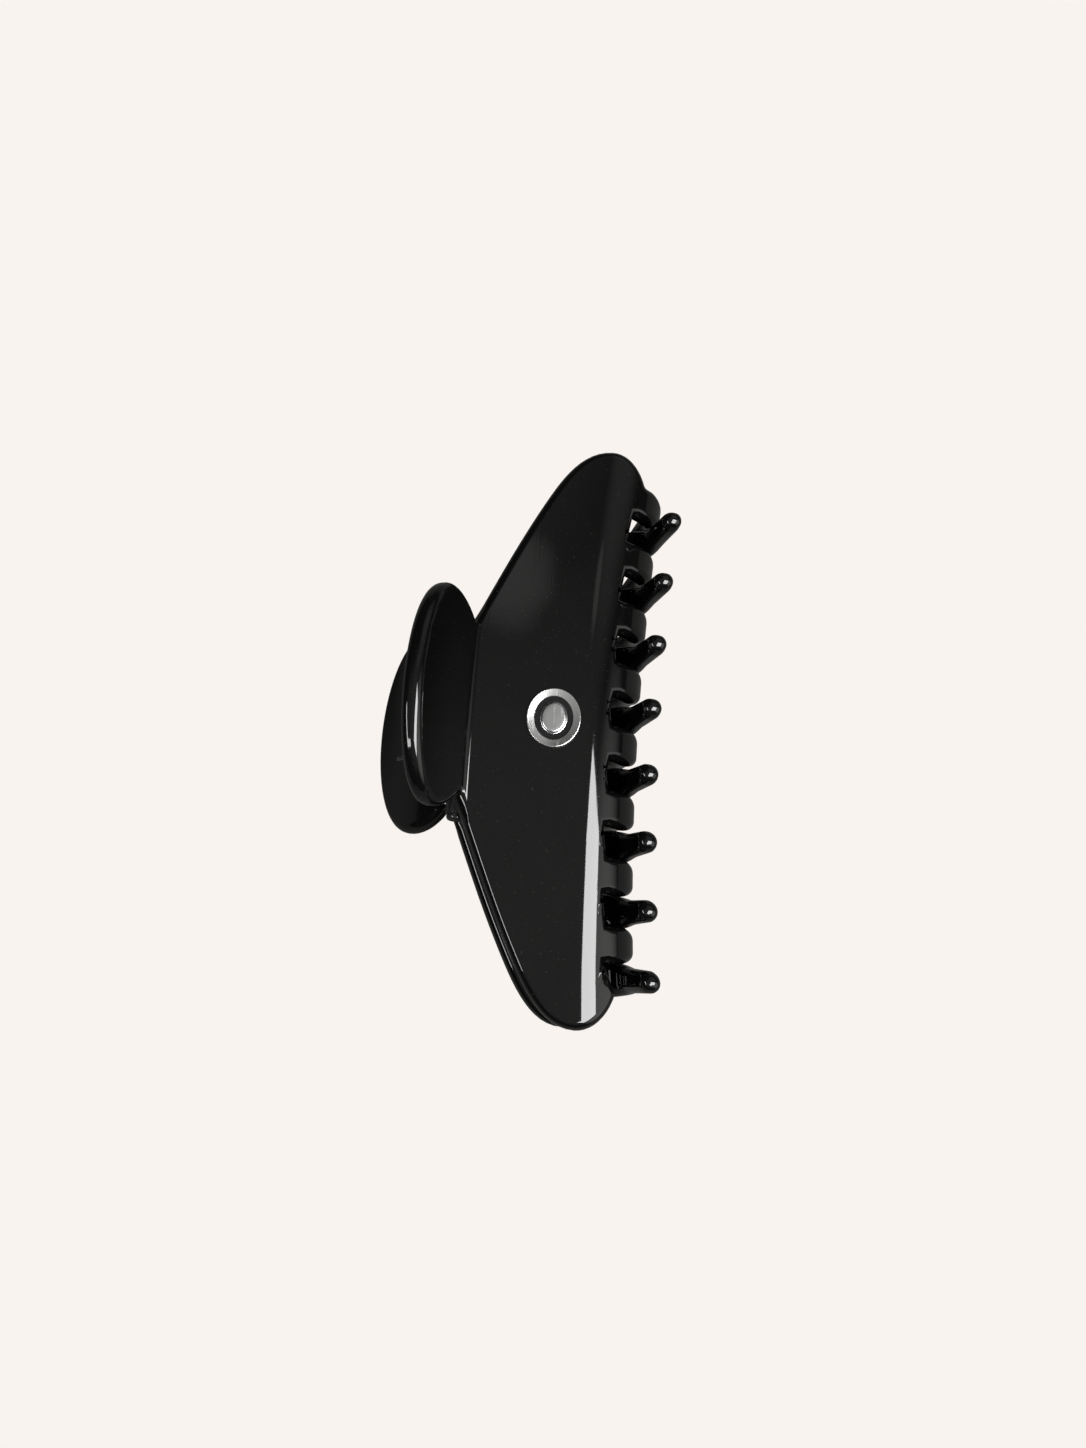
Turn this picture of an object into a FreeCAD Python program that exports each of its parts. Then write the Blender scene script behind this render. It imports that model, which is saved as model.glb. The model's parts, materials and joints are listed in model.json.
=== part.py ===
import FreeCAD, Part
import math
import os

# Large hair claw, closed, lying on its rear jaw. Millimetres and degrees.
# X runs from the thumb tabs to the teeth, Y along the hinge, Z up through the front jaw.
# The hinge axis is the line x = 0, z = 0 until everything is lifted onto the table at the end.

# Bent acetate sheet that each jaw is made of, measured on its middle surface.
SHEET = 3.5
NECK_HALF_GAP = 4.4
FOLD_X = 0.6
FOLD_RADIUS = 3.5
TAB_TIP_ANGLE = 66.0
TAB_ROOT_ANGLE = 50.0
TAB_LENGTH = 18.5
FACE_NECK_ANGLE = 4.0
FACE_BEND_ANGLE = 13.0
FACE_LENGTH = 18.5
BEND_RADIUS = 9.0
TOOTH_ANGLE = 88.0
TOOTH_LENGTH = 11.8
SWEEP_RADIUS = 346.0
SWEEP_TILT = 35.0
SWEEP_CENTRE = (15.0, 5.0)

# Outline of a jaw.
TAB_HALF_WIDTH = 19.0
TAB_HALF_LENGTH = 11.0
TAB_ROOT_HALF_LENGTH = 14.0
TAB_TIP_TRIM = 0.2
TAB_CUTTER_HALF = 8.0
TAB_OVERLAP = 1.2
NECK_HALF_WIDTH = 13.6
NECK_START = -1.8
EDGE_START_SLOPE = 2.3
EDGE_POINTS = ((-1.3, 14.7), (3.7, 26.1), (10.8, 40.9), (22.4, 52.1))
HALF_SPAN = 52.1
END_ROUND_X = 6.7
END_ROUND_Y = 9.9

# The front tab sits a little to one side of the hinge, and the rear tab as much to the other side.
TAB_SHIFT = 1.2

# Comb of teeth. The rear comb sits half a pitch from the front one.
TOOTH_COUNT = 8
PITCH = 11.53
SLOT_WIDTH = 5.1
SLOT_ROOT_X = 21.3
MID_TOOTH_WIDTH = 4.2
MID_TOOTH_Z = -3.0
SLOT_TAPER_TOP = 3.0
TAPER_STEP = 0.02
TAPER_END_WIDTH = 2.8
TAPER_END_Z = -25.6
TIP_Z = -13.6

# Hinge.
PIN_RADIUS = 1.0
BORE_RADIUS = 1.05
KNUCKLE_RADIUS = 2.0
KNUCKLE_LENGTH = 4.6
FRONT_END_KNUCKLE = 2.4
REAR_END_KNUCKLE = 6.0
KNUCKLE_GAP = 0.4
COIL_HALF_LENGTH = 6.0
LEAF_THICKNESS = 0.8
WEB_REACH = 0.4
LEAF_START = 2.7
LEAF_END = 10.5
LEAF_HALF_WIDTH = 10.4
PIN_HEAD_RADIUS = 1.75
PIN_HEAD_LENGTH = 0.9
HEAD_ROUND = 0.8
SCREW_X = 7.0
SCREW_Y = 7.4
SCREW_RADIUS = 0.7
SCREW_HEAD_RADIUS = 1.35
SCREW_HEAD_HEIGHT = 0.6
SCREW_DEPTH = 2.2
SCREW_ROUND = 0.25
SCREW_POINT = 0.3
DRIVE_LENGTH = 2.0
DRIVE_WIDTH = 0.35
DRIVE_DEPTH = 0.3
LEAF_SEAT = -1.65
LEAF_CORNER = 2.0
PIN_PLAY = 0.2
PIN_TAIL = 0.8

# Torsion spring.
WIRE_RADIUS = 0.45
COIL_RADIUS = 1.55
COIL_TURNS = 9
LEG_ANGLE = 124.4
LEG_LENGTH = 13.6

# Emblem on the front jaw.
EMBLEM_X = 14.6
EMBLEM_HALF_X = 4.7
EMBLEM_HALF_Y = 5.2
EMBLEM_HEIGHT = 1.1
EMBLEM_RIM = 0.9
EMBLEM_RECESS = 0.35
EMBLEM_BEVEL = 0.4
EMBLEM_PIN_RADIUS = 0.6
EMBLEM_PIN_LENGTH = 1.8
EMBLEM_PIN_Y = 2.6
EMBLEM_SEAT = 0.15

# How the closed claw lies on a table.
REST_TILT = 10.55
REST_X = -9.891
REST_LIFT = 19.75

# How far cutting blocks reach past what they cut.
CUTTER = 60.0

V = FreeCAD.Vector
X_AXIS = V(1, 0, 0)
Y_AXIS = V(0, 1, 0)
Z_AXIS = V(0, 0, 1)
ORIGIN = V(0, 0, 0)


def direction(angle):
    """Unit vector in the XZ plane at an angle above +X."""
    turn = math.radians(angle)
    return V(math.cos(turn), 0, math.sin(turn))


def left_of(angle):
    """Unit vector a quarter turn to the left of a heading: the outward side of the sheet."""
    return direction(angle + 90)


def midline():
    """Stretches of the sheet's middle line, tab tip to tooth tip: start, heading, turn, length."""
    fold_turn = TAB_ROOT_ANGLE + FACE_NECK_ANGLE
    bend_turn = -(FACE_BEND_ANGLE + TOOTH_ANGLE)
    steps = (
        (TAB_ROOT_ANGLE * -1 + TAB_TIP_ANGLE, TAB_LENGTH),
        (fold_turn, math.radians(fold_turn) * FOLD_RADIUS),
        (FACE_BEND_ANGLE - FACE_NECK_ANGLE, FACE_LENGTH),
        (bend_turn, -math.radians(bend_turn) * BEND_RADIUS),
        (0.0, TOOTH_LENGTH),
    )
    point = ORIGIN
    heading = -TAB_TIP_ANGLE
    stretches = []
    for turn, length in steps:
        stretches.append((point, heading, turn, length))
        point = travel(point, heading, turn, length, 1.0)
        heading += turn
    start, heading, turn, length = stretches[1]
    lowest = travel(start, heading, turn, length, -heading / turn)
    shift = V(FOLD_X, 0, NECK_HALF_GAP) - lowest
    return [(start + shift, heading, turn, length) for start, heading, turn, length in stretches]


def travel(start, heading, turn, length, part, offset=0.0):
    """Point a part of the way along a stretch, moved outward from the middle line by an offset."""
    if turn == 0:
        return start + direction(heading) * (length * part) + left_of(heading) * offset
    radius = length / math.radians(turn)
    centre = start + left_of(heading) * radius
    return centre - left_of(heading + turn * part) * (radius - offset)


def side_edges(offset):
    edges = []
    for start, heading, turn, length in midline():
        points = [travel(start, heading, turn, length, part, offset) for part in (0.0, 0.5, 1.0)]
        if turn == 0:
            edges.append(Part.makeLine(points[0], points[2]))
        else:
            edges.append(Part.Arc(*points).toShape())
    return edges


def sweep_centre():
    return V(SWEEP_CENTRE[0], 0, SWEEP_CENTRE[1]) + direction(-SWEEP_TILT) * SWEEP_RADIUS


def bow(y):
    """How far the swept sheet moves towards +X, and towards -Z, at a distance y from the middle."""
    sag = SWEEP_RADIUS - math.sqrt(SWEEP_RADIUS ** 2 - y ** 2)
    return sag * math.cos(math.radians(SWEEP_TILT)), sag * math.sin(math.radians(SWEEP_TILT))


def bent_sheet():
    """The sheet's profile swept along a shallow arc, so that the comb curves round the head."""
    outer = side_edges(SHEET / 2)
    inner = side_edges(-SHEET / 2)
    tooth_cap = Part.makeLine(outer[-1].Vertexes[-1].Point, inner[-1].Vertexes[-1].Point)
    tab_cap = Part.makeLine(inner[0].Vertexes[0].Point, outer[0].Vertexes[0].Point)
    wire = Part.Wire(Part.__sortEdges__(outer + [tooth_cap, tab_cap] + inner))
    profile = Part.Face(wire)
    half_turn = math.degrees(math.asin((HALF_SPAN + 4) / SWEEP_RADIUS))
    axis = direction(90 - SWEEP_TILT)
    profile.rotate(sweep_centre(), axis, -half_turn)
    return profile.revolve(sweep_centre(), axis, 2 * half_turn)


def tab_oval():
    """Oval of the tab about its widest place, a little longer towards the neck."""
    top = V(0, TAB_HALF_WIDTH, 0)
    outer = Part.Ellipse(top, V(-TAB_HALF_LENGTH, 0, 0), ORIGIN)
    inner = Part.Ellipse(-top, V(TAB_ROOT_HALF_LENGTH, 0, 0), ORIGIN)
    halves = [Part.ArcOfEllipse(curve, 0, math.pi).toShape() for curve in (outer, inner)]
    return Part.Face(Part.Wire(halves))


def tab_prism():
    """Oval cutter square to the tab."""
    start, heading, turn, length = midline()[0]
    tip = travel(start, heading, turn, length, 0.0)
    root = travel(start, heading, turn, length, 1.0)
    chord = (root - tip).normalize()
    normal = V(-chord.z, 0, chord.x) * TAB_CUTTER_HALF
    centre = tip + chord * (TAB_HALF_LENGTH - TAB_TIP_TRIM) + V(0, TAB_SHIFT, 0)
    face = tab_oval()
    face.rotate(ORIGIN, Y_AXIS, -math.degrees(math.atan2(chord.z, chord.x)))
    face.translate(centre - normal)
    return face.extrude(normal * 2)


def edge_curve(side):
    curve = Part.BSplineCurve()
    points = [V(x, side * y, 0) for x, y in EDGE_POINTS]
    curve.interpolate(points, InitialTangent=V(1, side * EDGE_START_SLOPE, 0), FinalTangent=V(1, 0, 0))
    return curve.toShape()


def end_round(side):
    """Quarter ellipse at the end of the face, as a spline through points of the formula."""
    points = []
    for step in range(7):
        turn = math.radians(15 * step)
        x = EDGE_POINTS[-1][0] + END_ROUND_X * math.sin(turn)
        y = HALF_SPAN - END_ROUND_Y * (1 - math.cos(turn))
        points.append(V(x, side * y, 0))
    curve = Part.BSplineCurve()
    curve.interpolate(points, InitialTangent=V(1, 0, 0), FinalTangent=V(0, -side, 0))
    return curve.toShape()


def face_prism():
    """Upright cutter with the outline of the wide face, seen from above."""
    right_x = EDGE_POINTS[-1][0] + END_ROUND_X
    right_y = HALF_SPAN - END_ROUND_Y
    neck_x, neck_y = EDGE_POINTS[0]
    edges = [Part.makeLine(V(NECK_START, -NECK_HALF_WIDTH, 0), V(NECK_START, NECK_HALF_WIDTH, 0))]
    for side in (1, -1):
        edges.append(Part.makeLine(V(NECK_START, side * NECK_HALF_WIDTH, 0), V(neck_x, side * neck_y, 0)))
        edges.append(edge_curve(side))
        edges.append(end_round(side))
    edges.append(Part.makeLine(V(right_x, -right_y, 0), V(right_x, right_y, 0)))
    face = Part.Face(Part.Wire(Part.__sortEdges__(edges)))
    face.translate(V(0, 0, -CUTTER / 2))
    return face.extrude(V(0, 0, CUTTER))


def tooth_y(index):
    return (3.5 - index) * PITCH + PITCH / 4


def slot_y(index):
    return (3.5 - index) * PITCH - PITCH / 4


def comb_band():
    """Block that lets the teeth run on past the outline of the face."""
    low = slot_y(TOOTH_COUNT - 1) + SLOT_WIDTH / 2
    high = slot_y(-1) - SLOT_WIDTH / 2
    return Part.makeBox(CUTTER, high - low, CUTTER, V(SLOT_ROOT_X, low, -CUTTER / 2))


def slot(index):
    """Round-ended slot from above that a tooth of the other jaw passes through."""
    y = slot_y(index)
    root = SLOT_ROOT_X + bow(y)[0]
    radius = SLOT_WIDTH / 2
    end = Part.makeCylinder(radius, CUTTER, V(root + radius, y, -CUTTER / 2), Z_AXIS)
    return end.fuse(Part.makeBox(CUTTER, SLOT_WIDTH, CUTTER, V(root + radius, y - radius, -CUTTER / 2)))


def tooth_taper(index):
    """Wedge between two teeth, seen along X, that narrows them towards their tips."""
    y = slot_y(index)
    half_widths = (
        (SLOT_TAPER_TOP, SLOT_WIDTH / 2 - TAPER_STEP),
        (MID_TOOTH_Z, (PITCH - MID_TOOTH_WIDTH) / 2),
        (TAPER_END_Z, (PITCH - TAPER_END_WIDTH) / 2),
    )
    right = [V(0, y + half, z) for z, half in half_widths]
    left = [V(0, y - half, z) for z, half in reversed(half_widths)]
    face = Part.Face(Part.makePolygon(right + left + [right[0]]))
    face.translate(V(SLOT_ROOT_X + 1, 0, 0))
    return face.extrude(V(CUTTER, 0, 0))


def tab_side():
    """Everything on the tabs' side of the neck."""
    edge = NECK_START + TAB_OVERLAP
    return Part.makeBox(CUTTER, 2 * CUTTER, 2 * CUTTER, V(edge - CUTTER, -CUTTER, -CUTTER))


def plain_jaw():
    sheet = bent_sheet()
    face = sheet.common(face_prism().fuse(comb_band()))
    tab = sheet.common(tab_prism().common(tab_side()))
    cutters = [slot(index) for index in range(TOOTH_COUNT)]
    cutters += [tooth_taper(index) for index in range(-1, TOOTH_COUNT)]
    cutters.append(Part.makeBox(CUTTER, 2 * CUTTER, CUTTER, V(0, -CUTTER, TIP_Z - CUTTER)))
    return face.fuse(tab).cut(cutters).removeSplitter()


def on_face(x, offset):
    """Point on the wide face at an x, moved outward from its middle line, and the heading there."""
    start, heading, turn, length = midline()[2]
    end = travel(start, heading, turn, length, 1.0)
    part = (x - start.x) / (end.x - start.x)
    return travel(start, heading, turn, length, part, offset), heading + turn * part


def placed_on_face(shape, x, offset):
    """Shape drawn flat about the origin, moved onto the face with its +Z outward."""
    point, heading = on_face(x, offset)
    moved = shape.copy()
    moved.rotate(ORIGIN, Y_AXIS, -heading)
    moved.translate(point)
    return moved


def knuckle(low, high):
    """Barrel round the pin with a web up to the leaf."""
    web_x = LEAF_START + WEB_REACH
    barrel = Part.makeCylinder(KNUCKLE_RADIUS, high - low, V(0, low, 0), Y_AXIS)
    under, _ = on_face(web_x, LEAF_SEAT - LEAF_THICKNESS)
    over, _ = on_face(web_x, LEAF_SEAT)
    corners = [V(0, 0, WEB_REACH), V(0, 0, KNUCKLE_RADIUS), over, under]
    corners.append(V(KNUCKLE_RADIUS * 0.8, 0, WEB_REACH))
    web = Part.Face(Part.makePolygon(corners + [corners[0]]))
    web.translate(V(0, low, 0))
    web = web.extrude(V(0, high - low, 0))
    bore = Part.makeCylinder(BORE_RADIUS, high - low, V(0, low, 0), Y_AXIS)
    return barrel.fuse(web).cut(bore)


def knuckle_spans(end_length):
    """Where one leaf's two knuckles lie along the pin. The other leaf fills the places between."""
    inner = COIL_HALF_LENGTH + KNUCKLE_GAP
    outer = inner + KNUCKLE_LENGTH + KNUCKLE_GAP
    return (outer, outer + end_length), (-inner - KNUCKLE_LENGTH, -inner)


def screw_spots():
    return [(SCREW_X, SCREW_Y), (SCREW_X, -SCREW_Y)]


def hinge_leaf(end_length):
    """Leaf let into the inside of the front jaw, with its two knuckles and screw holes."""
    reach = LEAF_END - SCREW_X
    back = SCREW_X - LEAF_START
    spans = knuckle_spans(end_length)
    narrow = LEAF_HALF_WIDTH
    corners = [V(-back, spans[1][0], 0), V(reach, -narrow, 0), V(reach, narrow, 0), V(-back, spans[0][1], 0)]
    plate = Part.Face(Part.makePolygon(corners + [corners[0]])).extrude(V(0, 0, -LEAF_THICKNESS))
    upright = [edge for edge in plate.Edges if edge.Vertexes[0].X > 0 and edge.Vertexes[-1].X > 0]
    upright = [edge for edge in upright if abs(edge.tangentAt(edge.FirstParameter).z) > 0.9]
    plate = placed_on_face(plate.makeFillet(LEAF_CORNER, upright), SCREW_X, LEAF_SEAT)
    for low, high in spans:
        plate = plate.fuse(knuckle(low, high))
    return plate.cut(screw_pair()).removeSplitter()


def screw(x, y):
    """Pan-head screw driven outward from the inside of the jaw."""
    head_top = LEAF_SEAT - LEAF_THICKNESS - SCREW_HEAD_HEIGHT
    head = Part.makeCylinder(SCREW_HEAD_RADIUS, SCREW_HEAD_HEIGHT)
    rim = [edge for edge in head.Edges if edge.isClosed() and edge.Vertexes[0].Z < 0.1]
    head = head.makeFillet(SCREW_ROUND, rim)
    corner = V(-DRIVE_LENGTH / 2, -DRIVE_WIDTH / 2, 0)
    drive = Part.makeBox(DRIVE_LENGTH, DRIVE_WIDTH, DRIVE_DEPTH, corner)
    cross = drive.copy()
    cross.rotate(ORIGIN, Z_AXIS, 90)
    shank = Part.makeCylinder(SCREW_RADIUS, LEAF_THICKNESS + SCREW_DEPTH, V(0, 0, SCREW_HEAD_HEIGHT))
    tip = [edge for edge in shank.Edges if edge.isClosed() and edge.Vertexes[0].Z > SCREW_HEAD_HEIGHT + 1]
    whole = head.cut([drive, cross]).fuse(shank.makeChamfer(SCREW_POINT, tip)).removeSplitter()
    whole.translate(V(0, y, 0))
    return placed_on_face(whole, x, head_top)


def screw_pair():
    return Part.makeCompound([screw(x, y) for x, y in screw_spots()])


def emblem():
    """Plain oval plaque with a raised bevelled rim, held by two pins."""
    plaque = oval(EMBLEM_HALF_X, EMBLEM_HALF_Y, EMBLEM_HEIGHT)
    top = [edge for edge in plaque.Edges if edge.isClosed() and edge.CenterOfMass.z > EMBLEM_HEIGHT / 2]
    plaque = plaque.makeChamfer(EMBLEM_BEVEL, top)
    field = oval(EMBLEM_HALF_X - EMBLEM_RIM, EMBLEM_HALF_Y - EMBLEM_RIM, EMBLEM_RECESS)
    field.translate(V(0, 0, EMBLEM_HEIGHT - EMBLEM_RECESS))
    plaque = plaque.cut(field)
    for side in (1, -1):
        foot = V(0, side * EMBLEM_PIN_Y, -EMBLEM_PIN_LENGTH)
        plaque = plaque.fuse(Part.makeCylinder(EMBLEM_PIN_RADIUS, EMBLEM_PIN_LENGTH + EMBLEM_SEAT, foot))
    return placed_on_face(plaque.removeSplitter(), EMBLEM_X, SHEET / 2 - EMBLEM_SEAT)


def oval(half_x, half_y, height):
    face = Part.Face(Part.Wire(Part.Ellipse(ORIGIN, half_y, half_x).toShape()))
    face.rotate(ORIGIN, Z_AXIS, 90)
    return face.extrude(V(0, 0, height))


def pin_ends():
    """Where the pin's two buttons begin: past the front leaf's end knuckle, and past the rear one's."""
    front = knuckle_spans(FRONT_END_KNUCKLE)[0][1]
    rear = knuckle_spans(REAR_END_KNUCKLE)[0][1]
    return front + PIN_PLAY, -rear - PIN_PLAY


def dome(start, side):
    """Rounded button at one end of the pin."""
    button = Part.makeCylinder(PIN_HEAD_RADIUS, PIN_HEAD_LENGTH, V(0, start, 0), Y_AXIS * side)
    middle = start + side * PIN_HEAD_LENGTH / 2
    rim = [edge for edge in button.Edges if edge.isClosed() and side * (edge.CenterOfMass.y - middle) > 0]
    return button.makeFillet(PIN_HEAD_LENGTH * HEAD_ROUND, rim)


def hinge_pin():
    head, tail = pin_ends()
    shaft = Part.makeCylinder(PIN_RADIUS, head - tail + PIN_TAIL, V(0, tail - PIN_TAIL, 0), Y_AXIS)
    return shaft.fuse(dome(head, 1)).removeSplitter()


def pin_cap():
    return dome(pin_ends()[1], -1).cut(hinge_pin())


def torsion_spring():
    """Coil round the pin, running on at both ends into a straight leg that rests against a tab."""
    seat = LEG_ANGLE + 90
    turns = COIL_TURNS - 2 * (seat - 180) / 360
    length = 2 * (COIL_HALF_LENGTH - WIRE_RADIUS - 0.1)
    helix = Part.makeHelix(length / turns, length, COIL_RADIUS).Edges[0]
    ends = (helix.FirstParameter, helix.LastParameter)
    first, last = (helix.valueAt(end) for end in ends)
    first_heading, last_heading = (helix.tangentAt(end) for end in ends)
    tip = first - first_heading * LEG_LENGTH
    legs = Part.makeLine(tip, first), Part.makeLine(last, last + last_heading * LEG_LENGTH)
    section = Part.Wire(Part.makeCircle(WIRE_RADIUS, tip, first_heading))
    spring = Part.Wire([legs[0], helix, legs[1]]).makePipeShell([section], True, True)
    spring.rotate(ORIGIN, X_AXIS, 90)
    spring.translate(V(0, length / 2, 0))
    spring.rotate(ORIGIN, Y_AXIS, -seat)
    return spring


def turned_over(shape):
    """The same piece on the rear jaw: half a turn about X."""
    turned = shape.copy()
    turned.rotate(ORIGIN, X_AXIS, 180)
    return turned


def parts():
    front_leaf = hinge_leaf(FRONT_END_KNUCKLE)
    rear_leaf = hinge_leaf(REAR_END_KNUCKLE)
    screws = screw_pair()
    jaw = plain_jaw()
    plaque = emblem()
    return {
        "front_jaw": jaw.cut([front_leaf, screws, plaque]),
        "rear_jaw": turned_over(jaw.cut([rear_leaf, screws])),
        "front_hinge_leaf": front_leaf,
        "rear_hinge_leaf": turned_over(rear_leaf),
        "front_leaf_screws": screws,
        "rear_leaf_screws": turned_over(screws),
        "hinge_pin": hinge_pin(),
        "hinge_pin_cap": pin_cap(),
        "torsion_spring": torsion_spring(),
        "emblem_plaque": plaque,
    }


def main():
    """Lay the claw on the table, on its rear tab and front teeth, and write each piece."""
    os.makedirs("parts", exist_ok=True)
    for name, shape in parts().items():
        shape.rotate(ORIGIN, Y_AXIS, REST_TILT)
        shape.translate(V(REST_X, 0, REST_LIFT))
        shape.exportStep(f"parts/{name}.step")


main()
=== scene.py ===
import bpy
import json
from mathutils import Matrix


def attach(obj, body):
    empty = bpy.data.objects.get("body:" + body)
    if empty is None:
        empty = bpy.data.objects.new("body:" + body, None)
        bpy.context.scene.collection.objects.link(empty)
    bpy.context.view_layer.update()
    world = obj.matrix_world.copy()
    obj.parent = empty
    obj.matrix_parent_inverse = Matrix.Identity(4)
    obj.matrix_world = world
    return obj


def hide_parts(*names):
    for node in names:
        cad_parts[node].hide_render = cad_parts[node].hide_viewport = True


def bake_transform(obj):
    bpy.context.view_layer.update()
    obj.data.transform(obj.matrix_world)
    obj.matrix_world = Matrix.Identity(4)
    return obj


bl_info = {
    "name": "Hair claw",
    "version": (1, 0, 0),
    "blender": (4, 5, 0),
    "location": "3D View > Sidebar > Hair claw",
    "description": "Models and finishes a large polished hair claw around its packed frame",
    "category": "Object",
}

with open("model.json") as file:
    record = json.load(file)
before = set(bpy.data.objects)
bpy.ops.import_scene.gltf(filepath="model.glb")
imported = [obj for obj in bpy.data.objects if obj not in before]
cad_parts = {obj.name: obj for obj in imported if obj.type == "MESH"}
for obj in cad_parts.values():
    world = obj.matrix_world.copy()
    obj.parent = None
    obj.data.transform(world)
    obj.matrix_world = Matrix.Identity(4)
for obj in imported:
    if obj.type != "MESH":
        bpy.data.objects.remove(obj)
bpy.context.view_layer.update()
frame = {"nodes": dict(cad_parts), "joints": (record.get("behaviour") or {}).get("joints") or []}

import json
import math

import bmesh
import bpy
import numpy as np
from bpy.props import FloatProperty, FloatVectorProperty, IntProperty, PointerProperty
from mathutils import Matrix, Vector

HINGE = frame["joints"][0]["pos_m"]
MM = 0.001

# Bent sheet of a jaw, in millimetres and degrees, seen along the hinge, whose axis is at zero.
SHEET = 3.5
NECK_HALF_GAP = 4.4
FOLD_X = 0.6
FOLD_RADIUS = 3.5
TAB_TIP_ANGLE = 66.0
TAB_ROOT_ANGLE = 50.0
TAB_LENGTH = 18.5
FACE_NECK_ANGLE = 4.0
FACE_BEND_ANGLE = 13.0
FACE_LENGTH = 18.5
BEND_RADIUS = 9.0
TOOTH_ANGLE = 88.0
TOOTH_LENGTH = 11.8
SWEEP_RADIUS = 346.0
SWEEP_TILT = 35.0
SWEEP_CENTRE = (15.0, 5.0)
REST_TILT = 10.55

# Outline of a jaw.
TAB_HALF_WIDTH = 19.0
TAB_HALF_LENGTH = 11.0
TAB_ROOT_HALF_LENGTH = 14.0
TAB_CENTRE = 10.8
EDGE_POINTS = ((-1.3, 14.7), (3.7, 26.1), (10.8, 40.9), (22.4, 52.1))
EDGE_START = (1.0, 2.3)
EDGE_END = (1.0, 0.0)
HALF_SPAN = 52.1
END_ROUND_X = 6.7
END_ROUND_Y = 9.9
NOTCH_ROUND = 0.7
LOBE_ROUND = 1.75
TAB_SHIFT = 1.2

# Comb of teeth.
TOOTH_COUNT = 8
PITCH = 11.53
SLOT_WIDTH = 5.1
SLOT_ROOT_X = 21.3
TAPER = ((3.0, 2.55), (-3.0, 3.665), (-25.6, 4.365))
TIP_Z = -13.6

# Emblem and spring.
EMBLEM_X = 14.6
EMBLEM_SEAT = 0.15
COIL_START_ANGLE = 214.4
COIL_HALF_LENGTH = 5.45
COIL_TURNS = 8.809
LEG_LENGTH = 13.6
COIL_STEPS = 200
WIRE_ROUNDNESS = 3
WIRE_MERGE = 0.000001
WIRE_SMOOTH_ANGLE = 50.0
EMBLEM_SEGMENTS = 96
EMBLEM_BEVEL = 0.0002
EMBLEM_BEVEL_STEPS = 4
EMBLEM_CREASE = 30.0
STUD_CHAMFER = 0.00015
STUD_MARGIN = 0.0008
FACING_UP = 0.9
LEVEL_TOLERANCE = 0.0001

# Places of the stretches of the sheet, counted from the tab, which is 0, to the tooth.
FOLD, FACE, BEND, TOOTH = range(1, 5)

# How finely the outline is drawn and the blank divided: counts, degrees and millimetres.
HALVINGS = 40
SLOT_ROOT_STEPS = 12
TIP_STEPS = 12
EDGE_STEPS = 34
END_STEPS = 10
TAB_STEPS = 36
CORNER_STEP = 12.0
CORNER_CLEAR = 1.15
TIP_STRETCH = 1.15
NOTCH_CLEAR = 0.2
SIDE_CLEAR = 0.3
SHORTEST_STEP = 0.08
CUT_SPACING = (3.1, 0.3, 2.4, 0.5, 2.25)
LENGTHWISE_CUTS = 12
LENGTHWISE_SPACING = 4.05
CUT_MERGE = 0.01


def direction(angle):
    turn = math.radians(angle)
    return np.array((math.cos(turn), math.sin(turn)))


def left_of(angle):
    return direction(angle + 90)


def travel(start, heading, turn, length, part, offset=0.0):
    """Point a part of the way along a stretch of the sheet, moved outward by an offset."""
    if turn == 0:
        return start + direction(heading) * (length * part) + left_of(heading) * offset
    radius = length / math.radians(turn)
    centre = start + left_of(heading) * radius
    return centre - left_of(heading + turn * part) * (radius - offset)


def midline():
    """Stretches of the sheet's middle line from the tab: start, heading, turn and length."""
    fold_turn = TAB_ROOT_ANGLE + FACE_NECK_ANGLE
    bend_turn = -(FACE_BEND_ANGLE + TOOTH_ANGLE)
    steps = (
        (TAB_TIP_ANGLE - TAB_ROOT_ANGLE, TAB_LENGTH),
        (fold_turn, math.radians(fold_turn) * FOLD_RADIUS),
        (FACE_BEND_ANGLE - FACE_NECK_ANGLE, FACE_LENGTH),
        (bend_turn, -math.radians(bend_turn) * BEND_RADIUS),
        (0.0, TOOTH_LENGTH),
    )
    point = np.zeros(2)
    heading = -TAB_TIP_ANGLE
    stretches = []
    for turn, length in steps:
        stretches.append((point, heading, turn, length))
        point = travel(point, heading, turn, length, 1.0)
        heading += turn
    start, heading, turn, length = stretches[FOLD]
    lowest = travel(start, heading, turn, length, -heading / turn)
    shift = np.array((FOLD_X, NECK_HALF_GAP)) - lowest
    return [(start + shift, heading, turn, length) for start, heading, turn, length in stretches]


STRETCHES = midline()
STARTS = [sum(stretch[3] for stretch in STRETCHES[:index]) for index in range(len(STRETCHES))]


def stretch_at(distance):
    """Which stretch a distance along the sheet's middle line falls in."""
    return max(i for i, start in enumerate(STARTS) if i == 0 or start <= distance)


def along(distance, offset=0.0):
    """Point and heading at a distance along the sheet's middle line."""
    index = stretch_at(distance)
    start, heading, turn, length = STRETCHES[index]
    part = (distance - STARTS[index]) / length
    return travel(start, heading, turn, length, part, offset), heading + turn * part


def sag(y, radius=SWEEP_RADIUS):
    return radius - math.sqrt(radius * radius - y * y)


def bow(y):
    """How far the sheet bows along X and Z at a distance y from its middle."""
    return sag(y) * direction(SWEEP_TILT)


def solved(value_at, target, low, high):
    """Where a rising value reaches its target."""
    for _ in range(HALVINGS):
        middle = (low + high) / 2
        if value_at(middle) < target:
            low = middle
        else:
            high = middle
    return (low + high) / 2


def flat_from_above(x, y):
    """Place on the flat blank of a point of the outline seen from above."""
    target = x - bow(y)[0]
    distance = solved(lambda distance: along(distance)[0][0], target, 0.0, STARTS[TOOTH])
    return np.array((distance, y))


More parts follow.
